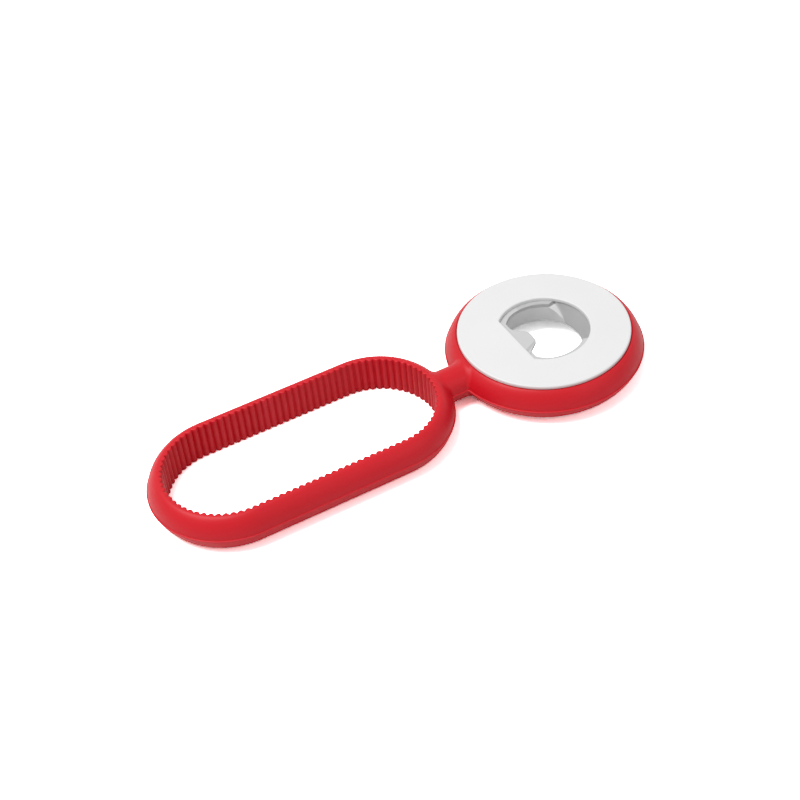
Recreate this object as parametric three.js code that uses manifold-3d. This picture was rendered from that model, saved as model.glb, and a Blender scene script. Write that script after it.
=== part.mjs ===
// Jar and bottle opener: a ribbed grip loop and a round head that holds a crown-cap lifter.
//
// Units are millimetres. Every piece is modelled about the head's centre line, with the
// grip loop towards -X and z = 0 on the face the tool rests on. The exported group is
// then shifted along X, so that its origin lies under the middle of the whole tool.

import * as THREE from 'three';
import { mergeVertices } from 'three/addons/utils/BufferGeometryUtils.js';
import Module from 'manifold-3d';

const wasm = await Module();
wasm.setup();

// ---------------------------------------------------------------- driving dimensions

// Clearances
const fitGap = 0.3;            // round a piece that sits in a pocket of another
const seatGap = 0.1;           // between flat faces that rest on each other
const cutPast = 1;             // how far a cutting body runs past the faces it cuts

// Grip moulding, outside. The powers shape the rounded sides: 2 is a true ellipse, and
// less is leaner towards the edges.
const gripHeight = 13.4;       // of the loop; the parting plane is halfway up
const loopLength = 104;        // outside, along X
const loopWidth = 51.8;        // outside, along Y
const loopBulge = 4.3;         // width of the rounded outer side of the band
const loopPower = 1.6;
const surroundWidth = 3.9;     // how far the surround bulges beyond the top cover
const surroundPower = 1.5;
const surroundDrop = 0.2;      // of its upper rim, below the loop's upper side
const surroundRise = 1.3;      // of its lower rim, above the loop's lower side
const neckLength = 5.4;        // clear length between loop and head on the centre line
const neckHalfWidth = 5.6;
const neckSetIn = 0.5;         // of the neck, from the loop's upper and lower sides
const neckFillet = 0.9;

// Grip moulding, ribbed inside of the loop
const bandWidth = 5.4;         // band, from its outside to half the depth of the ribs
const ribPitch = 2.24;
const ribDepth = 1;

// Covers
const coverThickness = 1.2;
const coverProud = 0.9;        // the top cover stands above the surround
const coverLap = 2;            // how far the top cover laps over the grip's shoulder
const footLap = 0.6;           // and the bottom cover
const mouthFlat = 10.7;        // distance of the D-shaped mouth's flat side from the centre
const mouthChamfer = 0.5;
const footWidth = 6.3;         // of the bottom cover, round the open recess
const pegRadius = 1.2;
const pegLength = 2.6;
const pegCount = 6;
const pegInnerWeb = 1.7;       // core between a peg's socket and the insert's pocket
const pegOuterWeb = 1.4;       // and between the socket and the core's outside

// Steel opener insert
const sheet = 1.2;
const pocketRadius = 13.7;     // hole through the insert and the pocket below it
const ledgeWidth = 1.9;        // of the insert's flat that shows round the hole
const lipWidth = 1.8;          // and along the hole's straight side
const lipCorner = 3;
const tongueLength = 4.3;
const tongueTipHalf = 2.8;
const tongueRootHalf = 6.3;
const bridgeTopHalf = 11.6;    // half the bridge's width at the insert's face
const bridgeLowHalf = 5.3;     // and at its lower edge
const bridgeOverhang = 0.9;    // of the bridge's lower edge, inside the pocket's wall
const bridgeCover = 0.4;       // how far the bridge's top lies under the cover
const bridgeDrop = 6.5;
const pocketStrip = 0.7;       // pocket wall that shows below the bridge's lower edge

// Fixing screws of the insert
const screwAngles = [62, 132, 228, 298];
const screwRadius = 0.9;
const screwHeadRadius = 1.8;
const screwLength = 5.6;
const screwCover = 0.6;        // how far a screw's head lies under the cover
const screwEdge = 2.6;         // from the screws' circle to the insert's edge

// Rigid core
const coreWall = 1.8;
const deck = 1.8;              // thickness of the floor under the insert
const keyDepth = 2.2;          // rim that keys into the grip moulding
const keyHeight = 3;
const bossRadius = 2.3;
const screwBossDrop = 4.2;     // how far the screw bosses hang below the deck
const spineSideSkin = 3;       // grip material beside the spine
const spineTopSkin = 3.2;      // and above and below it
const anchorStep = 1.6;        // how far the anchor is wider than the spine, each side
const anchorLength = 1.6;
const anchorCover = 1.4;       // grip material outside the anchor, on the centre line

// Facets
const roundSegments = 48;
const arcSegments = 12;        // ellipse curves take twice this number
const sideSegments = 4;
const neckSegments = 24;
const smallSegments = 12;
const weldDistance = 1e-4;

// ---------------------------------------------------------------- derived places

// From the hole in the insert outwards
const mouthRadius = pocketRadius + ledgeWidth;
const screwCircle = mouthRadius + screwCover + screwHeadRadius;
const insertRadius = screwCircle + screwEdge;
const pegCircle = insertRadius + fitGap + pegInnerWeb + fitGap + pegRadius;
const coreRadius = pegCircle + pegRadius + fitGap + pegOuterWeb;
const footRadius = coreRadius + footLap;
const recessRadius = footRadius - footWidth;
const coverRadius = coreRadius + coverLap;
const headRadius = coverRadius + fitGap + surroundWidth;

const lipFlat = mouthFlat - lipWidth;
const tongueTip = lipFlat - tongueLength;
const bridgeLowRadius = pocketRadius - bridgeOverhang;
const bridgeTopRadius = mouthRadius + bridgeCover;

// Heights
const partingHeight = gripHeight / 2;
const neckHeight = gripHeight - 2 * neckSetIn;
const surroundTop = gripHeight - surroundDrop;
const topHeight = surroundTop + coverProud;
const coverUnderside = topHeight - coverThickness;
const coreTop = coverUnderside - seatGap;
const coreBottom = coverThickness + seatGap;
const insertTop = coreTop;
const insertUnderside = insertTop - sheet;
const deckTop = insertUnderside - seatGap;
const deckUnderside = deckTop - deck;
const bridgeLow = insertTop - bridgeDrop;
const pocketBottom = bridgeLow - pocketStrip;

// Loop and neck
const loopRadius = loopWidth / 2;
const loopNearX = -headRadius - neckLength - loopRadius;
const loopFarX = loopNearX - (loopLength - loopWidth);
const ribLineRadius = loopRadius - bandWidth;
const ribLineLength = 2 * (loopNearX - loopFarX) + 2 * Math.PI * ribLineRadius;
const ribCount = Math.round(ribLineLength / ribPitch);
const spineHalfWidth = neckHalfWidth - spineSideSkin;
const spineHeight = neckHeight - 2 * spineTopSkin;
const anchorHalfWidth = spineHalfWidth + anchorStep;
const anchorX = -headRadius - neckLength - anchorCover - anchorLength;

// ---------------------------------------------------------------- solids and meshes

// A closed three.js geometry as a solid that can be joined and cut.
function solidOf(geometry) {
  const bare = geometry.index ? geometry.toNonIndexed() : geometry.clone();
  bare.deleteAttribute('normal');
  bare.deleteAttribute('uv');
  const merged = mergeVertices(bare, weldDistance);
  const corners = merged.index.array;
  const kept = [];
  for (let i = 0; i < corners.length; i += 3) {
    const [a, b, c] = corners.slice(i, i + 3);
    if (a !== b && b !== c && c !== a) kept.push(a, b, c);
  }
  return new wasm.Manifold(new wasm.Mesh({
    numProp: 3,
    vertProperties: merged.attributes.position.array,
    triVerts: new Uint32Array(kept),
  }));
}

function meshOf(name, solid, material) {
  const result = solid.getMesh();
  const geometry = new THREE.BufferGeometry();
  geometry.setAttribute('position', new THREE.BufferAttribute(result.vertProperties, 3));
  geometry.setIndex(new THREE.BufferAttribute(result.triVerts, 1));
  geometry.computeVertexNormals();
  const mesh = new THREE.Mesh(geometry, material);
  mesh.name = name;
  return mesh;
}

// A ring or disc turned about the head's centre line. The profile lists [radius, height]
// with the material on its left, so a ring runs anticlockwise.
function turned(profile, segments = roundSegments) {
  const points = profile.map(([radius, height]) => new THREE.Vector2(radius, height));
  const geometry = new THREE.LatheGeometry(points, segments);
  geometry.rotateX(Math.PI / 2);
  return solidOf(geometry);
}

function ring(inner, outer, low, high) {
  return turned([[inner, low], [outer, low], [outer, high], [inner, high], [inner, low]]);
}

function disc(radius, low, high, segments = roundSegments) {
  return turned([[0, low], [radius, low], [radius, high], [0, high]], segments);
}

function post(radius, low, high, circle, angle) {
  const x = circle * Math.cos(angle);
  const y = circle * Math.sin(angle);
  return disc(radius, low, high, smallSegments).translate([x, y, 0]);
}

function box(lowX, highX, halfY, low, high) {
  const geometry = new THREE.BoxGeometry(highX - lowX, 2 * halfY, high - low);
  geometry.translate((lowX + highX) / 2, 0, (low + high) / 2);
  return solidOf(geometry);
}

// A plan outline between two heights, with square edges.
function plate(shape, low, high) {
  const options = { depth: high - low, bevelEnabled: false, curveSegments: arcSegments };
  const geometry = new THREE.ExtrudeGeometry(shape, options);
  geometry.translate(0, 0, low);
  return solidOf(geometry);
}

// An outline in Y and Z, run along X.
function alongX(points, startX, endX) {
  const shape = new THREE.Shape(points.map(([y, z]) => new THREE.Vector2(y, z)));
  const geometry = new THREE.ExtrudeGeometry(shape, { depth: endX - startX, bevelEnabled: false });
  const yAxis = new THREE.Vector3(0, 1, 0);
  const zAxis = new THREE.Vector3(0, 0, 1);
  const xAxis = new THREE.Vector3(1, 0, 0);
  geometry.applyMatrix4(new THREE.Matrix4().makeBasis(yAxis, zAxis, xAxis));
  geometry.translate(startX, 0, 0);
  return solidOf(geometry);
}

// Points [radius, height] up a rounded side that is widest at the parting plane.
function roundedSide(shoulder, bulge, power, low, high) {
  const steps = 2 * sideSegments;
  return Array.from({ length: steps + 1 }, (_, i) => {
    const angle = Math.PI * (i / steps - 0.5);
    const out = Math.abs(Math.cos(angle)) ** (2 / power);
    const up = Math.abs(Math.sin(angle)) ** (2 / power);
    const reach = angle < 0 ? low - partingHeight : high - partingHeight;
    return [shoulder + bulge * out, partingHeight + reach * up];
  });
}

function evenAngles(count, first = 0) {
  return Array.from({ length: count }, (_, i) => first + (2 * Math.PI * i) / count);
}

function joined(solids) {
  return solids.reduce((whole, next) => whole.add(next));
}

// ---------------------------------------------------------------- grip moulding

// The loop's outside as a solid: a round end at each centre and a straight between them.
function loopBlank() {
  const side = roundedSide(loopRadius - loopBulge, loopBulge, loopPower, 0, gripHeight);
  const end = turned([[0, 0], ...side, [0, gripHeight]]);
  const otherSide = side.map(([y, z]) => [-y, z]).reverse();
  return joined([
    end.translate([loopNearX, 0, 0]),
    end.translate([loopFarX, 0, 0]),
    alongX([...side, ...otherSide], loopFarX, loopNearX),
  ]);
}

// The point at a distance along the rib line, moved outwards by an offset.
function ribLinePoint(distance, offset) {
  const straight = loopNearX - loopFarX;
  const arc = Math.PI * ribLineRadius;
  const radius = ribLineRadius + offset;
  const farSide = distance > arc + straight;
  const along = farSide ? distance - arc - straight : distance;
  const centreX = farSide ? loopFarX : loopNearX;
  const turn = farSide ? Math.PI : 0;
  const angle = turn - Math.PI / 2 + Math.min(along, arc) / ribLineRadius;
  const past = Math.max(along - arc, 0) * (farSide ? 1 : -1);
  return new THREE.Vector2(centreX + past + radius * Math.cos(angle), radius * Math.sin(angle));
}

// Each rib is a ridge with sloping sides: one crest and one root.
function ribbedOpening() {
  const pitch = ribLineLength / ribCount;
  const points = [];
  for (let i = 0; i < ribCount; i += 1) {
    points.push(ribLinePoint(i * pitch, ribDepth / 2));
    points.push(ribLinePoint((i + 0.5) * pitch, -ribDepth / 2));
  }
  return plate(new THREE.Shape(points), -cutPast, gripHeight + cutPast);
}

// Oval neck with a fillet to the loop and to the head, turned about the X axis.
function neck() {
  const filletY = neckHalfWidth + neckFillet;
  const loopReach = Math.sqrt((loopRadius + neckFillet) ** 2 - filletY ** 2);
  const headReach = Math.sqrt((headRadius + neckFillet) ** 2 - filletY ** 2);
  const loopEnd = Math.atan2(filletY, loopReach) - Math.PI;
  const headEnd = -Math.atan2(filletY, headReach);
  const bottom = -Math.PI / 2;
  const startX = loopNearX + loopRadius / 2;
  const endX = -headRadius / 2;
  const profile = [
    [0, startX],
    [neckHalfWidth, startX],
    ...filletPoints(loopNearX + loopReach, filletY, loopEnd, bottom),
    ...filletPoints(-headReach, filletY, bottom, headEnd),
    [neckHalfWidth, endX],
    [0, endX],
  ];
  const oval = neckHeight / (2 * neckHalfWidth);
  const limits = box(startX, endX, headRadius, 0, gripHeight);
  return turned(profile, neckSegments)
    .rotate([0, 90, 0])
    .scale([1, 1, oval])
    .translate([0, 0, partingHeight])
    .intersect(limits);
}

// Points [y, x] of a neck fillet between two angles.
function filletPoints(centreX, centreY, start, end) {
  return Array.from({ length: sideSegments + 1 }, (_, i) => {
    const angle = start + ((end - start) * i) / sideSegments;
    return [centreY + neckFillet * Math.sin(angle), centreX + neckFillet * Math.cos(angle)];
  });
}

function headBlank() {
  const shoulder = headRadius - surroundWidth;
  const side = roundedSide(shoulder, surroundWidth, surroundPower, surroundRise, surroundTop);
  return turned([[0, surroundRise], ...side, [0, surroundTop]]);
}

function spine(gap) {
  const low = partingHeight - spineHeight / 2 - gap;
  const high = partingHeight + spineHeight / 2 + gap;
  const bar = box(anchorX + anchorLength / 2, -coreRadius + coreWall / 2, spineHalfWidth + gap, low, high);
  const anchor = box(anchorX - gap, anchorX + anchorLength + gap, anchorHalfWidth + gap, low, high);
  return bar.add(anchor);
}

function coreKey(gap) {
  const low = partingHeight - keyHeight / 2 - gap;
  const high = partingHeight + keyHeight / 2 + gap;
  return disc(coreRadius + keyDepth + gap, low, high);
}

function gripMoulding() {
  const blank = joined([
    loopBlank(),
    neck(),
    headBlank(),
  ]);
  const cavity = joined([
    disc(coreRadius + fitGap, -cutPast, gripHeight + cutPast),
    disc(coverRadius + fitGap, coverUnderside - fitGap, gripHeight + cutPast),
    disc(footRadius + fitGap, -cutPast, coverThickness + fitGap),
    coreKey(fitGap),
    spine(fitGap),
  ]);
  return blank.subtract(cavity).subtract(ribbedOpening());
}

// ---------------------------------------------------------------- steel opener insert

// Hole in the flat of the insert: round, with a straight side that carries the tongue.
function lipShape() {
  const cornerX = -lipFlat + lipCorner;
  const cornerY = Math.sqrt((pocketRadius - lipCorner) ** 2 - cornerX ** 2);
  const cornerAngle = Math.atan2(cornerY, cornerX);
  const shape = new THREE.Shape();
  shape.moveTo(-lipFlat, -tongueRootHalf);
  shape.absarc(cornerX, -cornerY, lipCorner, Math.PI, 2 * Math.PI - cornerAngle);
  shape.absarc(0, 0, pocketRadius, -cornerAngle, cornerAngle);
  shape.absarc(cornerX, cornerY, lipCorner, cornerAngle, Math.PI);
  shape.lineTo(-lipFlat, tongueRootHalf);
  shape.lineTo(-tongueTip, tongueTipHalf);
  shape.lineTo(-tongueTip, -tongueTipHalf);
  shape.closePath();
  return shape;
}

// The bridge's outline seen along X: wide at the insert's face, narrow at its lower edge.
function bridgeSector(gap) {
  const rise = insertTop - bridgeLow;
  const spread = (bridgeTopHalf - bridgeLowHalf) / rise;
  const halfAt = (height) => bridgeLowHalf + gap + spread * (height - bridgeLow);
  const low = bridgeLow - gap;
  const high = insertTop + gap;
  return alongX([
    [-halfAt(low), low],
    [halfAt(low), low],
    [halfAt(high), high],
    [-halfAt(high), high],
  ], 0, insertRadius);
}

// Conical wall from the insert's face down to the bridge's lower edge.
function bridge() {
  const cone = turned([
    [bridgeLowRadius, bridgeLow],
    [bridgeLowRadius + sheet, bridgeLow],
    [bridgeTopRadius + sheet, insertTop],
    [bridgeTopRadius, insertTop],
    [bridgeLowRadius, bridgeLow],
  ]);
  return cone.intersect(bridgeSector(0));
}

// The room that the bridge needs in the core.
function bridgeRoom() {
  const slope = (bridgeTopRadius - bridgeLowRadius) / bridgeDrop;
  const low = pocketBottom;
  const high = insertTop + fitGap;
  const radiusAt = (height) => bridgeLowRadius + sheet + fitGap + slope * (height - bridgeLow);
  const cone = turned([[0, low], [radiusAt(low), low], [radiusAt(high), high], [0, high]]);
  return cone.intersect(bridgeSector(fitGap));
}

function screwHole(angle) {
  const sink = turned([
    [0, insertUnderside - cutPast],
    [screwRadius + fitGap, insertUnderside - cutPast],
    [screwRadius + fitGap, insertUnderside],
    [screwHeadRadius + fitGap, insertTop],
    [screwHeadRadius + fitGap, insertTop + cutPast],
    [0, insertTop + cutPast],
  ], smallSegments);
  return sink.translate([screwCircle * Math.cos(angle), screwCircle * Math.sin(angle), 0]);
}

function openerInsert() {
  const low = insertUnderside - cutPast;
  const high = insertTop + cutPast;
  const flat = disc(insertRadius, insertUnderside, insertTop);
  const hole = plate(lipShape(), low, high);
  const notchSides = box(0, insertRadius, bridgeTopHalf, low, high);
  const farNotch = disc(bridgeTopRadius, low, high).intersect(notchSides);
  const angles = screwAngles.map((degrees) => THREE.MathUtils.degToRad(degrees));
  const screwHoles = joined(angles.map(screwHole));
  return flat.subtract(hole).subtract(farNotch).subtract(screwHoles).add(bridge());
}

// Countersunk self-tapping screw, head flush with the insert.
function insertScrew(degrees) {
  const angle = THREE.MathUtils.degToRad(degrees);
  const tip = insertTop - screwLength;
  const body = turned([
    [0, tip],
    [screwRadius, tip + screwRadius],
    [screwRadius, insertUnderside],
    [screwHeadRadius, insertTop],
    [0, insertTop],
  ], smallSegments);
  return body.translate([screwCircle * Math.cos(angle), screwCircle * Math.sin(angle), 0]);
}

// ---------------------------------------------------------------- rigid core

// Floor under the insert, outer wall, pocket wall and the cone of the open recess.
function coreShell() {
  const pocketOuter = pocketRadius + coreWall;
  const innerWall = coreRadius - coreWall;
  return turned([
    [pocketRadius, deckTop],
    [pocketRadius, pocketBottom],
    [recessRadius, coreBottom],
    [recessRadius + coreWall, coreBottom],
    [pocketOuter, pocketBottom + coreWall / 2],
    [pocketOuter, deckUnderside],
    [innerWall, deckUnderside],
    [innerWall, coreBottom],
    [coreRadius, coreBottom],
    [coreRadius, coreTop],
    [insertRadius + fitGap, coreTop],
    [insertRadius + fitGap, deckTop],
    [pocketRadius, deckTop],
  ]);
}

function headCore() {
  const topPegs = evenAngles(pegCount);
  const bottomPegs = evenAngles(pegCount, Math.PI / pegCount);
  const screws = screwAngles.map((degrees) => THREE.MathUtils.degToRad(degrees));
  const key = coreKey(0).subtract(disc(coreRadius - coreWall / 2, 0, gripHeight));
  const screwBossLow = deckUnderside - screwBossDrop;
  const pegBoss = (angle) => post(bossRadius, coreBottom, deckTop, pegCircle - coreWall / 2, angle);
  const screwBoss = (angle) => post(bossRadius, screwBossLow, deckTop, screwCircle, angle);
  const socket = pegRadius + fitGap;
  const topSocket = (angle) => post(socket, coreTop - pegLength - fitGap, topHeight, pegCircle, angle);
  const bottomSocket = (angle) => post(socket, 0, coreBottom + pegLength + fitGap, pegCircle, angle);
  const pilot = screwRadius + fitGap;
  const pilotLow = insertTop - screwLength - fitGap;
  const screwPilot = (angle) => post(pilot, pilotLow, topHeight, screwCircle, angle);
  const body = joined([
    coreShell(),
    key,
    spine(0),
    ...bottomPegs.map(pegBoss),
    ...screws.map(screwBoss),
  ]);
  const holes = joined([
    ...topPegs.map(topSocket),
    ...bottomPegs.map(bottomSocket),
    ...screws.map(screwPilot),
    bridgeRoom(),
  ]);
  return body.subtract(holes);
}

// ---------------------------------------------------------------- covers

// D-shaped opening with a chamfered upper edge.
function mouth() {
  const flatAngle = Math.acos(-mouthFlat / mouthRadius);
  const shape = new THREE.Shape();
  shape.absarc(0, 0, mouthRadius, -flatAngle, flatAngle);
  shape.closePath();
  const chamfer = new THREE.ExtrudeGeometry(shape, {
    depth: cutPast,
    curveSegments: arcSegments,
    bevelSegments: 1,
    bevelThickness: mouthChamfer,
    bevelSize: mouthChamfer,
  });
  chamfer.translate(0, 0, topHeight);
  return plate(shape, coverUnderside - cutPast, topHeight + cutPast).add(solidOf(chamfer));
}

function pegs(low, high, firstAngle) {
  return evenAngles(pegCount, firstAngle).map((angle) => post(pegRadius, low, high, pegCircle, angle));
}

function topCover() {
  const plain = disc(coverRadius, coverUnderside, topHeight);
  const underside = pegs(coverUnderside - pegLength, topHeight - coverThickness / 2, 0);
  return joined([plain, ...underside]).subtract(mouth());
}

function bottomCover() {
  const plain = ring(recessRadius, footRadius, 0, coverThickness);
  const inside = pegs(coverThickness / 2, coverThickness + pegLength, Math.PI / pegCount);
  return joined([plain, ...inside]);
}

// ---------------------------------------------------------------- the whole tool

const softRed = new THREE.MeshStandardMaterial({ color: 0xd8303c, roughness: 0.55, metalness: 0 });
const whitePlastic = new THREE.MeshStandardMaterial({ color: 0xeeeeee, roughness: 0.4, metalness: 0 });
const corePlastic = new THREE.MeshStandardMaterial({ color: 0xd9d9d9, roughness: 0.5, metalness: 0 });
const steel = new THREE.MeshStandardMaterial({ color: 0xbdbdbd, roughness: 0.3, metalness: 1 });

const opener = new THREE.Group();
opener.add(meshOf('grip_moulding', gripMoulding(), softRed));
opener.add(meshOf('head_core', headCore(), corePlastic));
opener.add(meshOf('opener_insert', openerInsert(), steel));
screwAngles.forEach((degrees, i) => {
  opener.add(meshOf(`insert_screw_${i + 1}`, insertScrew(degrees), steel));
});
opener.add(meshOf('top_cover', topCover(), whitePlastic));
opener.add(meshOf('bottom_cover', bottomCover(), whitePlastic));

const totalLength = loopLength + neckLength + 2 * headRadius;
opener.position.x = totalLength / 2 - headRadius;

const part = new THREE.Group();
part.add(opener);

export default part;
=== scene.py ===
"""Looks for the jar grip and bottle opener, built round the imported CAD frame.

Shapes are worked out in millimetres about the head's centre line, as in the CAD part, and
become metres in the row frame when a piece is made. Heights and widths come from the CAD
nodes' boxes, and the names below hold the few sizes that a box doesn't show.
"""

import math

import bmesh
import bpy
import numpy as np
from mathutils import Matrix, Vector


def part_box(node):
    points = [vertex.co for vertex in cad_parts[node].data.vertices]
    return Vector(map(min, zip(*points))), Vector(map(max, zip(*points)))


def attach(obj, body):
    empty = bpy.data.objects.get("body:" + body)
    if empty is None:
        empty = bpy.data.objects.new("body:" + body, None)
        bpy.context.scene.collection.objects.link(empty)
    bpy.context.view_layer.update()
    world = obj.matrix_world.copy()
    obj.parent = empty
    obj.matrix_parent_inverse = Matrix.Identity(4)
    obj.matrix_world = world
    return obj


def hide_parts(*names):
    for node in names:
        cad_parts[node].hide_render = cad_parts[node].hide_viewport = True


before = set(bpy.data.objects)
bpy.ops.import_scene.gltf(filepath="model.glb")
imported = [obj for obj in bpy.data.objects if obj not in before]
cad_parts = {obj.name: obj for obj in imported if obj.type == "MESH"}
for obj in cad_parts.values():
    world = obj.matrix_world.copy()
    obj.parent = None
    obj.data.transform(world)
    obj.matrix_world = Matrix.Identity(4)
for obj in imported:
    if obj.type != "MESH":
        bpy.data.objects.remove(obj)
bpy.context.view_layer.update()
scene = bpy.context.scene

MM = 0.001
BODY = "root"


# ------------------------------------------------------------------ sizes from the frame

def box_mm(node):
    low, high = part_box(node)
    return np.array(low) / MM, np.array(high) / MM


grip_low, grip_high = box_mm("grip_moulding")
plate_low, plate_high = box_mm("top_cover")
foot_low, foot_high = box_mm("bottom_cover")
insert_low, insert_high = box_mm("opener_insert")
core_low, core_high = box_mm("head_core")

HEAD_X = (plate_low[0] + plate_high[0]) / 2       # head's centre line in the row frame
PLATE_RADIUS = (plate_high[1] - plate_low[1]) / 2
PLATE_TOP = plate_high[2]
FOOT_RADIUS = (foot_high[1] - foot_low[1]) / 2
INSERT_RADIUS = (insert_high[1] - insert_low[1]) / 2
INSERT_TOP = insert_high[2]
BRIDGE_LOW = insert_low[2]
CORE_TOP = core_high[2]
CORE_BOTTOM = core_low[2]
HEAD_RADIUS = (grip_high[1] - grip_low[1]) / 2
LOOP_TOP = grip_high[2]
PARTING = LOOP_TOP / 2                            # height of the parting plane

# Sizes that the CAD part names too
FIT_GAP = 0.3
COVER_THICKNESS = 1.2
SHEET = 1.2
LOOP_RADIUS = 25.9
LOOP_BULGE, LOOP_POWER = 4.3, 1.6
BAND_WIDTH = 5.4
RIB_PITCH, RIB_DEPTH = 2.24, 0.9
SURROUND_BULGE, SURROUND_POWER = 3.9, 1.5
SURROUND_TOP, SURROUND_BOTTOM = 13.2, 1.3
NECK_LENGTH = 5.4
NECK_HALF = 5.6
NECK_RISE = 6.2                                   # half the neck's height
NECK_FILLET = 1.1
MOUTH_RADIUS, MOUTH_FLAT = 15.5, 10.6
RECESS_RADIUS = 21.3
POCKET_RADIUS = 13.7
CORE_WALL, CORE_DECK = 1.8, 1.8
KEY_DEPTH, KEY_HEIGHT = 2.2, 3.0
LIP_FLAT = 8.9
TONGUE_TIP, TONGUE_TIP_HALF, TONGUE_ROOT_HALF = 4.6, 2.8, 6.3
BRIDGE_TOP_RADIUS, BRIDGE_LOW_RADIUS = 16.0, 12.8
BRIDGE_TOP_HALF, BRIDGE_LOW_HALF = 11.6, 5.3
POCKET_STRIP = 0.7

LOOP_NEAR_X = -HEAD_RADIUS - NECK_LENGTH - LOOP_RADIUS
LOOP_FAR_X = grip_low[0] - HEAD_X + LOOP_RADIUS
RIB_LINE_RADIUS = LOOP_RADIUS - BAND_WIDTH
CORE_RADIUS = PLATE_RADIUS - 2.0
SHOULDER_RADIUS = HEAD_RADIUS - SURROUND_BULGE
POCKET_BOTTOM = BRIDGE_LOW - POCKET_STRIP

# Edges and fine features of the visual meshes
BEAD_HALF, BEAD_PROUD = 0.3, 0.3                  # the raised parting line
BEAD_CREST = 0.6                                  # its flat crest, as a share of its height
RIM_ROUND = 0.55                                  # edge where the ribs meet the loop's faces
PLATE_EDGE, MOUTH_EDGE = 0.45, 0.45
RING_EDGE = 0.3
MOUTH_CORNER = 0.5
SHOULDER_ROUND = 0.35                             # surround's rim beside the top plate
SHEET_EDGE = 0.12
SEAT_GAP = 0.1                                    # between pieces that rest on each other
SUPPORT = 0.15                                    # of a flat face, from where its edge rounds


# ------------------------------------------------------------------ mesh helpers

WELD_DISTANCE = 3e-6           # in metres
SHORTEST_EDGE = 1e-7
SHARP_ANGLE = 35               # in degrees, from which an edge is shaded sharp
GRIP_SHARP_ANGLE = 50
NEVER_SHARP = 180


def grid(points, closed=False):
    """(vertices, quads) of an array of points [column, row, xyz]."""
    columns, rows = points.shape[:2]
    last = columns if closed else columns - 1
    faces = []
    for i in range(last):
        a = i * rows
        b = ((i + 1) % columns) * rows
        faces.extend((a + j, a + j + 1, b + j + 1, b + j) for j in range(rows - 1))
    return points.reshape(-1, 3), faces


def placed_mesh(name, points, faces, weld):
    """A mesh from points in millimetres about the head's centre line, with its faces outward."""
    mesh = bpy.data.meshes.new(name)
    mesh.from_pydata(((points + np.array([HEAD_X, 0, 0])) * MM).tolist(), [], faces)
    work = bmesh.new()
    work.from_mesh(mesh)
    if weld:
        bmesh.ops.remove_doubles(work, verts=work.verts, dist=WELD_DISTANCE)
        bmesh.ops.dissolve_degenerate(work, edges=work.edges, dist=SHORTEST_EDGE)
    bmesh.ops.recalc_face_normals(work, faces=work.faces)
    work.to_mesh(mesh)
    work.free()
    return mesh


def piece(name, patches, material, replaced, sharp):
    """One object from grid patches, welded where they meet, in place of CAD nodes."""
    vertices, faces = [], []
    for points, quads in patches:
        offset = sum(len(v) for v in vertices)
        vertices.append(points)
        faces.extend(tuple(offset + i for i in quad) for quad in quads)
    mesh = placed_mesh(name, np.concatenate(vertices), faces, weld=True)
    mesh.shade_smooth()
    mesh.set_sharp_from_angle(angle=math.radians(sharp))
    mesh.materials.append(material)
    made = bpy.data.objects.new(name, mesh)
    scene.collection.objects.link(made)
    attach(made, BODY)
    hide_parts(*replaced)
    return made


def smooth_step(t):
    t = np.clip(t, 0, 1)
    return t * t * (3 - 2 * t)


def circle(radius, angles):
    return np.stack([radius * np.cos(angles), radius * np.sin(angles)], axis=-1)


def at_height(plan, z):
    """Plan points [..., xy] with a height each."""
    return np.concatenate([plan, np.broadcast_to(z, plan.shape[:-1])[..., None]], axis=-1)


def outline_normals(outline):
    """Directions out of a closed anticlockwise outline."""
    ahead = np.roll(outline, -1, axis=0) - np.roll(outline, 1, axis=0)
    ahead /= np.linalg.norm(ahead, axis=1)[:, None]
    return np.stack([ahead[:, 1], -ahead[:, 0]], axis=-1)


def turned(profile, columns=240):
    """A closed profile of (radius, height) points turned about the head's centre line."""
    angles = np.linspace(0, 2 * math.pi, columns, endpoint=False)
    rows = [at_height(circle(radius, angles), height) for radius, height in profile]
    return grid(np.stack(rows, axis=1), closed=True)


def rounded_corner(before, corner, after, radius, steps=5):
    """Points of an arc that rounds a corner of a plan or profile outline."""
    before, corner, after = (np.array(p, float) for p in (before, corner, after))
    into = (corner - before) / np.linalg.norm(corner - before)
    out = (after - corner) / np.linalg.norm(after - corner)
    turn = math.acos(np.clip(into @ out, -1, 1))
    if radius <= 0 or turn < 1e-3:
        return [corner]
    reach = radius * math.tan(turn / 2)
    inward = out - into
    inward /= np.linalg.norm(inward)
    centre = corner + inward * radius / math.cos(turn / 2)
    start, end = corner - into * reach - centre, corner + out * reach - centre
    arc = []
    for i in range(steps + 1):
        t = i / steps
        arc.append(centre + (math.sin((1 - t) * turn) * start + math.sin(t * turn) * end) / math.sin(turn))
    return arc


def rounded_outline(corners, steps=5):
    """A closed outline of (x, y, corner radius) points with its corners rounded."""
    points = []
    for i, (x, y, radius) in enumerate(corners):
        before, after = corners[i - 1][:2], corners[(i + 1) % len(corners)][:2]
        points.extend(rounded_corner(before, (x, y), after, radius, steps))
    return np.array(points)


# ------------------------------------------------------------------ materials

def new_material(name):
    material = bpy.data.materials.new(name)
    material.use_nodes = True
    return material, material.node_tree.nodes, material.node_tree.links


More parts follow.
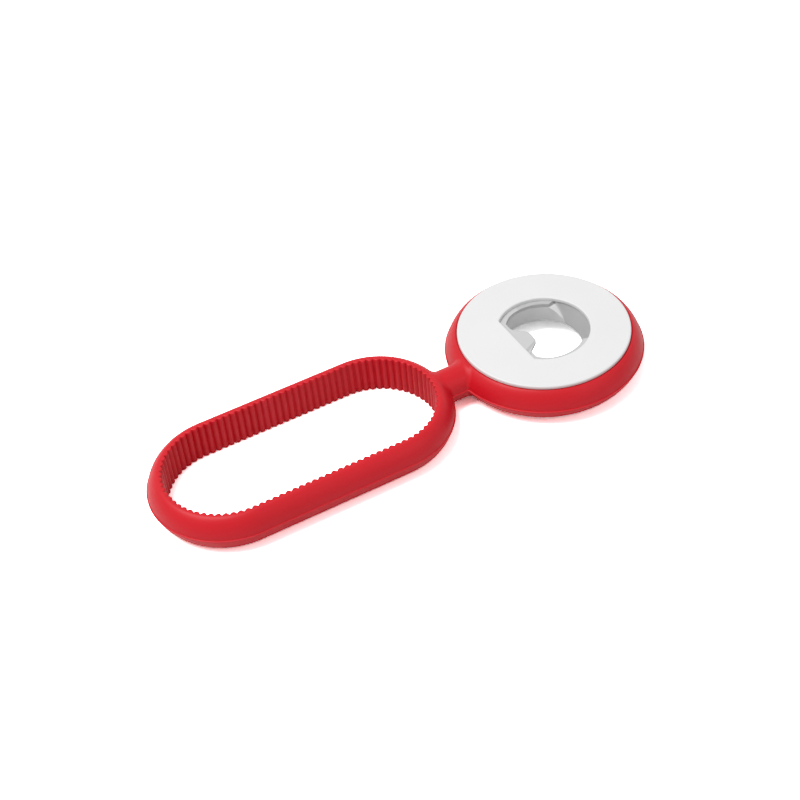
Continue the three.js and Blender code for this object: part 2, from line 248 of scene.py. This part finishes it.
def object_noise(nodes, links, scale, detail=4.0, stretch=(1, 1, 1)):
    """Noise in the object's own coordinates, in cycles a metre."""
    place = nodes.new("ShaderNodeTexCoord")
    mapping = nodes.new("ShaderNodeMapping")
    mapping.inputs["Scale"].default_value = stretch
    noise = nodes.new("ShaderNodeTexNoise")
    noise.inputs["Scale"].default_value = scale
    noise.inputs["Detail"].default_value = detail
    links.new(place.outputs["Object"], mapping.inputs["Vector"])
    links.new(mapping.outputs["Vector"], noise.inputs["Vector"])
    return noise.outputs["Fac"]


def spread(nodes, links, value, low, high, from_low=0.3, from_high=0.7):
    """A value mapped to the range from low to high."""
    node = nodes.new("ShaderNodeMapRange")
    for name, number in (("From Min", from_low), ("From Max", from_high), ("To Min", low), ("To Max", high)):
        node.inputs[name].default_value = number
    links.new(value, node.inputs["Value"])
    return node.outputs["Result"]


def colour_mix(nodes, links, factor, first, second):
    """Two colours mixed by a factor. Either colour may be a value or an output."""
    node = nodes.new("ShaderNodeMix")
    node.data_type = "RGBA"
    links.new(factor, node.inputs["Factor"])
    for socket, colour in (("A", first), ("B", second)):
        target = [s for s in node.inputs if s.name == socket and s.type == "RGBA"][0]
        if isinstance(colour, tuple):
            target.default_value = (*colour, 1)
        else:
            links.new(colour, target)
    return [s for s in node.outputs if s.type == "RGBA"][0]


def add_bump(nodes, links, height, distance, strength=1.0):
    bump = nodes.new("ShaderNodeBump")
    bump.inputs["Strength"].default_value = strength
    bump.inputs["Distance"].default_value = distance
    links.new(height, bump.inputs["Height"])
    links.new(bump.outputs["Normal"], nodes["Principled BSDF"].inputs["Normal"])


# Raised edges: paler worn edges on the plastics, and a painted highlight on the steel's rims.
def edge_wear_and_highlight(nodes, links, low, high):
    """0 on open faces to 1 on raised edges, from how the surface curves."""
    geometry = nodes.new("ShaderNodeNewGeometry")
    return spread(nodes, links, geometry.outputs["Pointiness"], 0, 1, low, high)


def plastic(name, colour, shade, worn, roughness, grain, bump_height, gloss=0.5):
    """Moulded plastic or rubber: a fine spark-eroded grain, faint mottling and paler edges."""
    material, nodes, links = new_material(name)
    shader = nodes["Principled BSDF"]
    shader.inputs["Specular IOR Level"].default_value = gloss
    mottle = spread(nodes, links, object_noise(nodes, links, 55, 3), 0, 1)
    base = colour_mix(nodes, links, mottle, shade, colour)
    base = colour_mix(nodes, links, edge_wear_and_highlight(nodes, links, 0.52, 0.62), base, worn)
    links.new(base, shader.inputs["Base Color"])
    fine = object_noise(nodes, links, grain, 5)
    smudges = object_noise(nodes, links, 140, 4)
    both = nodes.new("ShaderNodeMath")
    both.operation = "MULTIPLY"
    links.new(fine, both.inputs[0])
    links.new(smudges, both.inputs[1])
    low, high = roughness
    links.new(spread(nodes, links, both.outputs["Value"], low, high, 0.12, 0.4), shader.inputs["Roughness"])
    add_bump(nodes, links, fine, bump_height)
    return material


def stamped_steel(name):
    """Satin sheet steel: fine brushing along the tool, cloudy reflections painted into its colour, and rims
    painted paler as a highlight.
    """
    material, nodes, links = new_material(name)
    shader = nodes["Principled BSDF"]
    shader.inputs["Metallic"].default_value = 0.1
    brushing = object_noise(nodes, links, 900, 6, stretch=(0.35, 6, 1))
    # Painted reflection: cloud noise in the base colour stands in for cloudy reflections.
    clouds = object_noise(nodes, links, 160, 4)
    cloudy = spread(nodes, links, clouds, 0, 1)
    base = colour_mix(nodes, links, cloudy, (0.49, 0.49, 0.495), (0.52, 0.52, 0.525))
    # Painted highlight: the steel's raised rims are made paler in the colour.
    base = colour_mix(nodes, links, edge_wear_and_highlight(nodes, links, 0.53, 0.6), base, (0.60, 0.60, 0.60))
    links.new(base, shader.inputs["Base Color"])
    links.new(spread(nodes, links, brushing, 0.36, 0.5), shader.inputs["Roughness"])
    add_bump(nodes, links, brushing, 0.000012, 0.6)
    return material


soft_red = plastic(
    "soft_red", colour=(0.67, 0.010, 0.021), shade=(0.63, 0.008, 0.017), worn=(0.71, 0.024, 0.040),
    roughness=(0.36, 0.48), grain=5200, bump_height=0.00002, gloss=0.28)
white_plastic = plastic(
    "white_plastic", colour=(0.83, 0.83, 0.83), shade=(0.815, 0.815, 0.815), worn=(0.86, 0.86, 0.86),
    roughness=(0.34, 0.48), grain=4200, bump_height=0.000012)
core_plastic = plastic(
    "core_plastic", colour=(0.82, 0.82, 0.82), shade=(0.79, 0.79, 0.79), worn=(0.85, 0.85, 0.85),
    roughness=(0.42, 0.56), grain=4200, bump_height=0.000014)
steel = stamped_steel("steel")


# ------------------------------------------------------------------ grip moulding

# The moulding comes out of two half moulds, so each half is a height over the plan. That
# height is where the loop, the neck and the head, joined with fillets, have their surface.
FILLET_Y = NECK_HALF + NECK_FILLET
LOOP_FILLET_ANGLE = math.asin(FILLET_Y / (LOOP_RADIUS + NECK_FILLET))
HEAD_FILLET_ANGLE = math.asin(FILLET_Y / (HEAD_RADIUS + NECK_FILLET))
LOOP_FILLET_X = LOOP_NEAR_X + (LOOP_RADIUS + NECK_FILLET) * math.cos(LOOP_FILLET_ANGLE)
HEAD_FILLET_X = -(HEAD_RADIUS + NECK_FILLET) * math.cos(HEAD_FILLET_ANGLE)
FILLET_FADE = 1.4              # over which the fillet starts, from the shoulder outwards
FAR_AWAY = 100.0
HALVINGS = 22

NECK_COLUMNS = 57
COLUMNS_PER_RIB = 12
HEAD_STEP = math.radians(1.1)
SIDE_STEPS = 16                # down a rounded side
NECK_STEPS = 17                # along the neck's straight sides
FILLET_STEPS = 9               # round each of its fillets


def rounded_form(inside, height, bulge, rise, power):
    """Rough distance out of a form with rounded sides, exact at the parting plane."""
    gone = np.clip(1 - inside / bulge, 0, None)
    return (((gone ** power) + (height / rise) ** power) ** (1 / power) - 1) * bulge


def filleted(first, second, radius):
    """Rough distance out of two joined forms, with a fillet where they meet."""
    near_first, near_second = np.maximum(radius - first, 0), np.maximum(radius - second, 0)
    return np.maximum(radius, np.minimum(first, second)) - np.hypot(near_first, near_second)


def outside_distance(plan, height, upper):
    """Rough distance out of the moulding, at heights from the parting plane."""
    x, y = plan[..., 0], plan[..., 1]
    loop_inside = LOOP_RADIUS - np.hypot(x - np.clip(x, LOOP_FAR_X, LOOP_NEAR_X), y)
    head_inside = HEAD_RADIUS - np.hypot(x, y)
    head_rise = SURROUND_TOP - PARTING if upper else PARTING - SURROUND_BOTTOM
    loop = rounded_form(loop_inside, height, LOOP_BULGE, PARTING, LOOP_POWER)
    head = rounded_form(head_inside, height, SURROUND_BULGE, head_rise, SURROUND_POWER)
    neck = rounded_form(NECK_HALF - np.abs(y), height, NECK_HALF, NECK_RISE, 2.0)
    on_neck = (x > LOOP_NEAR_X + LOOP_RADIUS / 2) & (x < -SHOULDER_RADIUS / 2)
    neck = np.where(on_neck, neck, FAR_AWAY)
    loop_fillet = NECK_FILLET * smooth_step((LOOP_BULGE - loop_inside) / FILLET_FADE)
    head_fillet = NECK_FILLET * smooth_step((SURROUND_BULGE - head_inside) / FILLET_FADE)
    return np.minimum(filleted(loop, neck, loop_fillet), filleted(head, neck, head_fillet))


def half_height(plan, upper):
    """Height of the moulding's face above or below the parting plane, by halving steps."""
    low, high = np.zeros(plan.shape[:-1]), np.full(plan.shape[:-1], PARTING + 1)
    for _ in range(HALVINGS):
        middle = (low + high) / 2
        inside = outside_distance(plan, middle, upper) < 0
        low, high = np.where(inside, middle, low), np.where(inside, high, middle)
    return np.maximum(low, BEAD_HALF)


def face_points(plan, upper, on_bead):
    """Points of the upper or lower face over plan points. The marked ones edge the parting bead."""
    height = half_height(plan, upper)
    height[on_bead] = BEAD_HALF
    return at_height(plan, PARTING + height if upper else PARTING - height)


def edges_bead(columns, rows):
    """Marks of the points, in the grid of the loop or the head, that edge the parting bead."""
    marks = np.zeros((columns, rows), bool)
    marks[NECK_COLUMNS - 1:, -1] = True
    marks[0, -1] = True
    return marks


def rounded_steps(bulge, power):
    """Distances inside an outline at which a rounded side is sampled, from the shoulder out."""
    angles = np.linspace(math.pi / 2, 0, SIDE_STEPS + 1)
    return bulge * (1 - np.cos(angles) ** (2 / power))


def neck_spread():
    """From -1 to 1 across the neck, closer together towards its sides."""
    return np.sin(np.linspace(-math.pi / 2, math.pi / 2, NECK_COLUMNS))


def loop_path():
    """[angle or None, distance] of each column along the rib line, the neck's columns first."""
    straight = LOOP_NEAR_X - LOOP_FAR_X
    neck_angles = np.arcsin(neck_spread() * math.sin(LOOP_FILLET_ANGLE))
    length = 2 * straight + 2 * math.pi * RIB_LINE_RADIUS
    start, end = neck_angles[-1] * RIB_LINE_RADIUS, length + neck_angles[0] * RIB_LINE_RADIUS
    count = round((end - start) / RIB_PITCH * COLUMNS_PER_RIB)
    rest = np.linspace(start, end, count + 1)[1:-1]
    return np.concatenate([neck_angles * RIB_LINE_RADIUS, rest]), length


def loop_frame(distance):
    """Points of the rib line at distances from its near end, and the directions outwards."""
    straight = LOOP_NEAR_X - LOOP_FAR_X
    quarter = math.pi / 2 * RIB_LINE_RADIUS
    length = 2 * straight + 4 * quarter
    s = np.mod(distance + quarter, length)
    far_side = s > 2 * quarter + straight
    along = np.where(far_side, s - 2 * quarter - straight, s)
    centre = np.where(far_side, LOOP_FAR_X, LOOP_NEAR_X)
    angle = np.where(far_side, math.pi, 0) - math.pi / 2 + np.minimum(along, 2 * quarter) / RIB_LINE_RADIUS
    past = np.maximum(along - 2 * quarter, 0) * np.where(far_side, 1, -1)
    outward = np.stack([np.cos(angle), np.sin(angle)], axis=-1)
    line = outward * RIB_LINE_RADIUS + np.stack([centre + past, np.zeros_like(past)], axis=-1)
    return line, outward


def rib_offset(distance, length):
    """How far the ribbed wall lies outside the rib line: round crests and narrow roots."""
    count = round(length / RIB_PITCH)
    phase = np.abs(np.sin(math.pi * count * distance / length))
    return RIB_DEPTH * (0.5 - phase ** 0.9)


def rim_rows(offset, shoulder):
    """Offsets from the rib line and drops below the face: the rounded inner rim."""
    angles = np.linspace(0, math.pi / 2, 5)
    across = offset[:, None] + RIM_ROUND * (1 - np.cos(angles))[None, :]
    drop = RIM_ROUND * (1 - np.sin(angles))
    spans = np.linspace(0, 1, 4)[1:-1]
    inner = across[:, -1:]
    flat = inner + (shoulder - inner) * spans[None, :]
    return np.concatenate([across, flat], axis=1), np.concatenate([drop, np.zeros(len(spans))])


def loop_patches():
    distance, length = loop_path()
    line, outward = loop_frame(distance)
    offset = rib_offset(distance, length)
    side = BAND_WIDTH - rounded_steps(LOOP_BULGE, LOOP_POWER)
    inner, drop = rim_rows(offset, side[0])
    across = np.concatenate([inner, np.broadcast_to(side, (len(distance), len(side)))], axis=1)
    drop = np.concatenate([drop, np.zeros(len(side))])
    plan = line[:, None, :] + outward[:, None, :] * across[..., None]
    on_bead = edges_bead(*plan.shape[:2])
    upper, lower = face_points(plan, True, on_bead), face_points(plan, False, on_bead)
    upper[..., 2] -= drop
    lower[..., 2] += drop
    wall = np.stack([lower[:, 0], upper[:, 0]], axis=1)
    return [grid(upper, True), grid(lower, True), grid(wall, True)], plan[:, -1]


def head_patches():
    neck_angles = math.pi - np.arcsin(neck_spread() * math.sin(HEAD_FILLET_ANGLE))
    free = 2 * math.pi - 2 * HEAD_FILLET_ANGLE
    rest = np.linspace(neck_angles[0], neck_angles[0] + free, round(free / HEAD_STEP) + 1)[1:-1]
    angles = np.concatenate([neck_angles[::-1], rest])
    rim = SHOULDER_RADIUS + SHOULDER_ROUND
    side = HEAD_RADIUS - rounded_steps(SURROUND_BULGE, SURROUND_POWER)
    side = [rim] + [radius for radius in side if radius > rim + SUPPORT / 2]
    plan = np.stack([circle(radius, angles) for radius in side], axis=1)
    on_bead = edges_bead(*plan.shape[:2])
    upper, lower = face_points(plan, True, on_bead), face_points(plan, False, on_bead)
    seat = PLATE_TOP - COVER_THICKNESS - FIT_GAP
    inner = CORE_RADIUS + FIT_GAP
    foot = FOOT_RADIUS + FIT_GAP
    rows = []
    for turn in np.linspace(0, math.pi / 2, 5):
        drop = SHOULDER_ROUND * (1 - math.cos(turn))
        rows.append(at_height(circle(rim - SHOULDER_ROUND * math.sin(turn), angles), upper[:, 0, 2] - drop))
    for radius, height in ((SHOULDER_RADIUS, seat), (inner, seat), (inner, COVER_THICKNESS + FIT_GAP),
                           (foot, COVER_THICKNESS + FIT_GAP), (foot, SURROUND_BOTTOM)):
        rows.append(at_height(circle(radius, angles), height))
    rows.append(lower[:, 0])
    wall = np.stack(rows, axis=1)
    return [grid(upper, True), grid(lower, True), grid(wall, True)], plan[:, -1]


def neck_side():
    """The neck's outline on its +Y side, from the loop's circle to the head's."""
    loop_arc = np.linspace(LOOP_FILLET_ANGLE - math.pi, -math.pi / 2, FILLET_STEPS)
    head_arc = np.linspace(-math.pi / 2, -HEAD_FILLET_ANGLE, FILLET_STEPS)
    loop_part = circle(NECK_FILLET, loop_arc) + np.array([LOOP_FILLET_X, FILLET_Y])
    head_part = circle(NECK_FILLET, head_arc) + np.array([HEAD_FILLET_X, FILLET_Y])
    straight = np.linspace(LOOP_FILLET_X, HEAD_FILLET_X, NECK_STEPS)[1:-1]
    middle = np.stack([straight, np.full(len(straight), NECK_HALF)], axis=-1)
    return np.concatenate([loop_part, middle, head_part])


def neck_patches(loop_cut, head_cut):
    side = neck_side()
    share = neck_spread()
    along = np.linspace(0, 1, len(side))
    loop_sag = loop_cut[NECK_COLUMNS // 2, 0] - loop_cut[0, 0]
    head_sag = head_cut[NECK_COLUMNS // 2, 0] - head_cut[0, 0]
    sag = loop_sag * (1 - along) + head_sag * along
    x = side[:, None, 0] + sag[:, None] * (1 - share[None, :] ** 2)
    y = side[:, None, 1] * share[None, :]
    plan = np.stack([x, y], axis=-1)
    plan[0], plan[-1] = loop_cut, head_cut
    on_bead = np.zeros(plan.shape[:2], bool)
    on_bead[:, [0, -1]] = True
    return [grid(face_points(plan, upper, on_bead)) for upper in (True, False)], side


def bead_patch(outline):
    """The fine raised line where the two half moulds met."""
    outward = outline_normals(outline)
    crest = BEAD_HALF * BEAD_CREST
    rows = []
    for reach, height in ((0, BEAD_HALF), (BEAD_PROUD, crest), (BEAD_PROUD, -crest), (0, -BEAD_HALF)):
        rows.append(at_height(outline + outward * reach, PARTING + height))
    return grid(np.stack(rows, axis=1), closed=True)


def make_grip():
    loop, loop_outline = loop_patches()
    head, head_outline = head_patches()
    neck, side = neck_patches(loop_outline[:NECK_COLUMNS], head_outline[:NECK_COLUMNS][::-1])
    # anticlockwise: round the loop, the neck's -Y side, round the head, the neck's +Y side
    outline = np.concatenate([
        loop_outline[NECK_COLUMNS:],
        side * np.array([1, -1]),
        head_outline[NECK_COLUMNS:],
        side[::-1],
    ])
    return piece("grip", loop + head + neck + [bead_patch(outline)], soft_red,
                 ["grip_moulding"], GRIP_SHARP_ANGLE)


# ------------------------------------------------------------------ covers

MOUTH_STEPS, CHORD_STEPS = 180, 40     # round the mouth's arc and along its flat side


def mouth_outline():
    corner = math.acos(-MOUTH_FLAT / MOUTH_RADIUS)
    arc = circle(MOUTH_RADIUS, np.linspace(-corner, corner, MOUTH_STEPS))
    corners = [(x, y, 0.0) for x, y in arc]
    corners[0] = (*corners[0][:2], MOUTH_CORNER)
    corners[-1] = (*corners[-1][:2], MOUTH_CORNER)
    points = rounded_outline(corners[:1] + corners[2:-2] + corners[-1:])
    last = points[-1]
    chord = [(last[0], last[1] * t) for t in np.linspace(1, -1, CHORD_STEPS)[1:-1]]
    return np.concatenate([points, np.array(chord)])


def quarter_round(radius, count=5):
    """(across, down) steps of a rounded edge, from the wall up to the face."""
    angles = np.linspace(0, math.pi / 2, count)
    return [(radius * (1 - math.cos(a)), radius * (1 - math.sin(a))) for a in angles]


def make_top_plate():
    mouth = mouth_outline()
    out = outline_normals(mouth)
    rim = np.arctan2(mouth[:, 1], mouth[:, 0])
    under = PLATE_TOP - COVER_THICKNESS
    rows = [at_height(mouth, under)]
    rows += [at_height(mouth + out * across, PLATE_TOP - down) for across, down in quarter_round(MOUTH_EDGE)]
    rows.append(at_height(mouth + out * (MOUTH_EDGE + SUPPORT), PLATE_TOP))
    rows.append(at_height(circle(PLATE_RADIUS - PLATE_EDGE - SUPPORT, rim), PLATE_TOP))
    for across, down in reversed(quarter_round(PLATE_EDGE)):
        rows.append(at_height(circle(PLATE_RADIUS - across, rim), PLATE_TOP - down))
    rows.append(at_height(circle(PLATE_RADIUS, rim), under))
    rows.append(rows[0])
    return piece("top_plate", [grid(np.stack(rows, axis=1), closed=True)], white_plastic,
                 ["top_cover"], SHARP_ANGLE)


def make_bottom_ring():
    edge = quarter_round(RING_EDGE)
    profile = [(RECESS_RADIUS, COVER_THICKNESS)]
    profile += [(RECESS_RADIUS + across, down) for across, down in edge]
    profile += [(FOOT_RADIUS - across, down) for across, down in reversed(edge)]
    profile += [(FOOT_RADIUS, COVER_THICKNESS), (RECESS_RADIUS, COVER_THICKNESS)]
    return piece("bottom_ring", [turned(profile)], white_plastic,
                 ["bottom_cover"], SHARP_ANGLE)


# ------------------------------------------------------------------ steel insert

BRIDGE_LOW_CURVE = 16.5        # plan radius of the bridge's lower edge
BRIDGE_BEND = 1.0              # bend radius between the insert's flat and the bridge
BRIDGE_COLUMNS = 41
BEND_ROWS, SLOPE_ROWS = 6, 9
LEDGE_START = math.radians(51)         # where the ledge begins beside the bridge
LEDGE_STEPS = 40
LEDGE_CORNER, LIP_CORNER = 0.6, 1.6
TONGUE_ROOT_CORNER, TONGUE_TIP_CORNER = 1.8, 1.6
BEVEL_ANGLE = math.radians(50)         # edges of the sheet from this angle are rounded


def bridge_half(depth):
    """Half the bridge's width at a depth below the insert's face."""
    share = depth / (INSERT_TOP - BRIDGE_LOW)
    return BRIDGE_TOP_HALF + (BRIDGE_LOW_HALF - BRIDGE_TOP_HALF) * share


def bridge_row(depth, reach=0.0):
    """Plan points across the bridge at a depth, moved outwards by a reach."""
    share = depth / (INSERT_TOP - BRIDGE_LOW)
    radius = BRIDGE_TOP_RADIUS + (BRIDGE_LOW_CURVE - BRIDGE_TOP_RADIUS) * share
    middle = BRIDGE_TOP_RADIUS + (BRIDGE_LOW_RADIUS - BRIDGE_TOP_RADIUS) * share + reach
    half = math.asin(bridge_half(depth) / (radius + reach))
    angles = np.linspace(-half, half, BRIDGE_COLUMNS)
    return circle(radius + reach, angles) + np.array([middle - radius - reach, 0])


def bridge_patch():
    """The bridge's upper surface: a rounded bend and then a slope down."""
    fall = INSERT_TOP - BRIDGE_LOW
    slope = math.atan2(fall, BRIDGE_TOP_RADIUS - BRIDGE_LOW_RADIUS)
    tangent = BRIDGE_BEND * math.tan(slope / 2)
    rows = []
    for turn in np.linspace(0, slope, BEND_ROWS):
        depth = BRIDGE_BEND * (1 - math.cos(turn))
        on_slope = depth / math.tan(slope)
        reach = tangent - BRIDGE_BEND * math.sin(turn) + on_slope
        rows.append(at_height(bridge_row(depth, reach), INSERT_TOP - depth))
    bend_depth = BRIDGE_BEND * (1 - math.cos(slope))
    for depth in np.linspace(bend_depth, fall, SLOPE_ROWS)[1:]:
        rows.append(at_height(bridge_row(depth), INSERT_TOP - depth))
    return grid(np.stack(rows, axis=1)), rows[0][:, :2]


def insert_hole(bridge_edge):
    """The outline of the hole in the insert's flat, from the bridge's +Y end round to -Y."""
    ledge_end = math.acos(-LIP_FLAT / POCKET_RADIUS)
    ledge = circle(POCKET_RADIUS, np.linspace(LEDGE_START, ledge_end, LEDGE_STEPS))
    corners = [(x, y, 0.0) for x, y in ledge[:-1]]
    corners[0] = (*corners[0][:2], LEDGE_CORNER)
    # the points nearest the ledge's two corners make room for their rounding
    corners = [corners[0]] + corners[3:-6]
    lip_y = POCKET_RADIUS * math.sin(ledge_end)
    upper = corners + [
        (-LIP_FLAT, lip_y - LEDGE_CORNER, LIP_CORNER),
        (-LIP_FLAT, TONGUE_ROOT_HALF, TONGUE_ROOT_CORNER),
        (-TONGUE_TIP, TONGUE_TIP_HALF, TONGUE_TIP_CORNER),
    ]
    lower = [(x, -y, radius) for x, y, radius in reversed(upper)]
    bridge_corners = [(x, y, 0.0) for x, y in bridge_edge]
    return rounded_outline(upper + lower + bridge_corners)


def make_insert():
    bridge, bridge_edge = bridge_patch()
    hole = insert_hole(bridge_edge)
    rim = np.arctan2(hole[:, 1], hole[:, 0])
    flat = [at_height(hole, INSERT_TOP), at_height(circle(INSERT_RADIUS, rim), INSERT_TOP)]
    made = piece("crown_cap_insert", [grid(np.stack(flat, axis=1), closed=True), bridge], steel,
                 ["opener_insert"], NEVER_SHARP)
    if sum(polygon.normal.z * polygon.area for polygon in made.data.polygons) < 0:
        made.data.flip_normals()
    sheet = made.modifiers.new("sheet", "SOLIDIFY")
    sheet.thickness = SHEET * MM
    sheet.offset = -1
    sheet.use_even_offset = True
    edge = made.modifiers.new("edge", "BEVEL")
    edge.width = SHEET_EDGE * MM
    edge.segments = 3
    edge.limit_method = "ANGLE"
    edge.angle_limit = BEVEL_ANGLE
    edge.use_clamp_overlap = True
    weighted = made.modifiers.new("flats", "WEIGHTED_NORMAL")
    weighted.weight = 100
    return made


# ------------------------------------------------------------------ rigid core

CORE_EDGE, CORE_MOUTH_EDGE, CORE_INNER_EDGE = 0.2, 0.25, 0.3
ROOM_ABOVE, ROOM_BELOW = 0.5, 0.05     # how far the bridge's room reaches past the bridge
ROOM_GAP = 0.6                         # and behind it
ROOM_ROWS, ROOM_COLUMNS = 10, 30


def core_profile():
    deck_top = INSERT_TOP - SHEET - SEAT_GAP
    outer = POCKET_RADIUS + CORE_WALL
    inner_wall = CORE_RADIUS - CORE_WALL
    key_low, key_high = PARTING - KEY_HEIGHT / 2, PARTING + KEY_HEIGHT / 2
    key = CORE_RADIUS + KEY_DEPTH
    corners = [
        (POCKET_RADIUS, deck_top, CORE_EDGE),
        (POCKET_RADIUS, POCKET_BOTTOM, CORE_MOUTH_EDGE),
        (RECESS_RADIUS, CORE_BOTTOM, CORE_EDGE),
        (RECESS_RADIUS + CORE_WALL, CORE_BOTTOM, CORE_EDGE),
        (outer, POCKET_BOTTOM + CORE_WALL / 2, CORE_INNER_EDGE),
        (outer, deck_top - CORE_DECK, CORE_INNER_EDGE),
        (inner_wall, deck_top - CORE_DECK, CORE_INNER_EDGE),
        (inner_wall, CORE_BOTTOM, CORE_EDGE),
        (CORE_RADIUS, CORE_BOTTOM, CORE_EDGE),
        (CORE_RADIUS, key_low, 0.0),
        (key, key_low, CORE_EDGE),
        (key, key_high, CORE_EDGE),
        (CORE_RADIUS, key_high, 0.0),
        (CORE_RADIUS, CORE_TOP, CORE_EDGE),
        (INSERT_RADIUS + FIT_GAP, CORE_TOP, CORE_EDGE),
        (INSERT_RADIUS + FIT_GAP, deck_top, 0.0),
    ]
    points = rounded_outline(corners, steps=3)
    return [tuple(p) for p in points] + [tuple(points[0])]


def bridge_room():
    """The room that the bridge takes out of the core's wall, as a closed mesh."""
    fall = INSERT_TOP - BRIDGE_LOW
    rows = []
    for depth in np.linspace(-ROOM_ABOVE, fall + ROOM_BELOW, ROOM_ROWS):
        share = depth / fall
        radius = BRIDGE_TOP_RADIUS + (BRIDGE_LOW_RADIUS - BRIDGE_TOP_RADIUS) * share + SHEET + ROOM_GAP
        half_y = bridge_half(depth) + FIT_GAP
        half = math.asin(half_y / radius)
        arc = circle(radius, np.linspace(-half, half, ROOM_COLUMNS))
        ring = np.concatenate([arc, np.array([[0, half_y], [0, -half_y]])])
        rows.append(at_height(ring, INSERT_TOP - depth))
    points, faces = grid(np.stack(rows, axis=1), closed=True)
    count, height = len(rows[0]), len(rows)
    faces.append(tuple(i * height for i in range(count)))
    faces.append(tuple(i * height + height - 1 for i in reversed(range(count))))
    return points, faces


def make_core():
    made = piece("core", [turned(core_profile())], core_plastic,
                 ["head_core"], SHARP_ANGLE)
    points, faces = bridge_room()
    room = bpy.data.objects.new("room", placed_mesh("room", points, faces, weld=False))
    scene.collection.objects.link(room)
    cut = made.modifiers.new("room", "BOOLEAN")
    cut.operation = "DIFFERENCE"
    cut.solver = "EXACT"
    cut.object = room
    bpy.context.view_layer.update()
    cut_mesh = bpy.data.meshes.new_from_object(made.evaluated_get(bpy.context.evaluated_depsgraph_get()))
    made.modifiers.clear()
    made.data = cut_mesh
    cut_mesh.shade_smooth()
    cut_mesh.set_sharp_from_angle(angle=math.radians(SHARP_ANGLE))
    bpy.data.objects.remove(room)
    return made


make_grip()
make_top_plate()
make_bottom_ring()
make_insert()
make_core()

for name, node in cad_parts.items():
    if name.startswith("insert_screw"):
        node.data.materials.clear()
        node.data.materials.append(steel)


# ------------------------------------------------------------------ camera

AZIMUTH, ELEVATION, ROLL = math.radians(-24.50), math.radians(43.15), math.radians(-5.95)
CAMERA_DISTANCE = 502.85
AIM = (-57.23, -4.57)          # from the head's centre line, on the plate's top
LENS, SENSOR = 70.54, 36.0


def make_camera():
    back = Vector((math.sin(AZIMUTH) * math.cos(ELEVATION), -math.cos(AZIMUTH) * math.cos(ELEVATION),
                   math.sin(ELEVATION)))
    right = Vector((math.cos(AZIMUTH), math.sin(AZIMUTH), 0))
    up = back.cross(right)
    rolled_right = math.cos(ROLL) * right + math.sin(ROLL) * up
    rolled_up = -math.sin(ROLL) * right + math.cos(ROLL) * up
    aim = Vector((HEAD_X + AIM[0], AIM[1], PLATE_TOP)) * MM
    place = aim + back * CAMERA_DISTANCE * MM
    data = bpy.data.cameras.new("camera")
    data.lens = LENS
    data.sensor_width = SENSOR
    data.clip_start = 0.01
    camera = bpy.data.objects.new("camera", data)
    turn = Matrix((rolled_right, rolled_up, back)).transposed().to_4x4()
    camera.matrix_world = Matrix.Translation(place) @ turn
    scene.collection.objects.link(camera)
    scene.camera = camera


# ------------------------------------------------------------------ floor and light

FLOOR_SIZE, FLOOR_GAP = 6.0, 0.0001
FLOOR_LIT, FLOOR_REFLECTED, FLOOR_SEEN = 0.70, 1.1, 3.4    # its colour for the kinds of rays
WORLD_LEVEL, BACKGROUND_LEVEL = 0.42, 1.0

KEY_PLACE, KEY_SIZE, KEY_POWER = (-0.45, 0.15, 1.1), 0.7, 10.3
FILL_PLACE, FILL_SIZE, FILL_POWER = (0.5, -0.9, 0.7), 0.8, 1.2


def ray_is(nodes, links, *kinds):
    """1 for rays of any of the kinds, as Light Path names them, and 0 for the others."""
    path = nodes.new("ShaderNodeLightPath")
    found = path.outputs[f"Is {kinds[0]} Ray"]
    for kind in kinds[1:]:
        either = nodes.new("ShaderNodeMath")
        either.operation = "MAXIMUM"
        links.new(found, either.inputs[0])
        links.new(path.outputs[f"Is {kind} Ray"], either.inputs[1])
        found = either.outputs["Value"]
    return found


def make_floor():
    material, nodes, links = new_material("floor")
    shader = nodes["Principled BSDF"]
    shader.inputs["Roughness"].default_value = 0.9
    shader.inputs["Specular IOR Level"].default_value = 0.0
    reflected = ray_is(nodes, links, "Glossy", "Transmission")
    base = colour_mix(nodes, links, reflected, (FLOOR_LIT,) * 3, (FLOOR_REFLECTED,) * 3)
    base = colour_mix(nodes, links, ray_is(nodes, links, "Camera"), base, (FLOOR_SEEN,) * 3)
    links.new(base, shader.inputs["Base Color"])
    mesh = bpy.data.meshes.new("floor")
    half = FLOOR_SIZE / 2
    corners = [(-half, -half, 0), (half, -half, 0), (half, half, 0), (-half, half, 0)]
    mesh.from_pydata(corners, [], [(0, 1, 2, 3)])
    mesh.materials.append(material)
    floor = bpy.data.objects.new("floor", mesh)
    floor.location.z = -FLOOR_GAP
    scene.collection.objects.link(floor)


def make_world():
    world = bpy.data.worlds.new("world")
    world.use_nodes = True
    scene.world = world
    nodes, links = world.node_tree.nodes, world.node_tree.links
    level = nodes.new("ShaderNodeMapRange")
    level.inputs["To Min"].default_value = WORLD_LEVEL
    level.inputs["To Max"].default_value = BACKGROUND_LEVEL
    background = ray_is(nodes, links, "Camera", "Glossy", "Transmission")
    links.new(background, level.inputs["Value"])
    links.new(level.outputs["Result"], nodes["Background"].inputs["Strength"])
    nodes["Background"].inputs["Color"].default_value = (1, 1, 1, 1)


def softbox(name, place, size, power):
    """A square area lamp aimed at the middle of the tool."""
    data = bpy.data.lights.new(name, "AREA")
    data.shape = "SQUARE"
    data.size = size
    data.energy = power
    lamp = bpy.data.objects.new(name, data)
    lamp.location = place
    lamp.rotation_euler = (-Vector(place)).to_track_quat("-Z", "Y").to_euler()
    scene.collection.objects.link(lamp)


make_camera()
make_floor()
make_world()
softbox("key", KEY_PLACE, KEY_SIZE, KEY_POWER)
softbox("fill", FILL_PLACE, FILL_SIZE, FILL_POWER)

scene.view_settings.view_transform = "Standard"
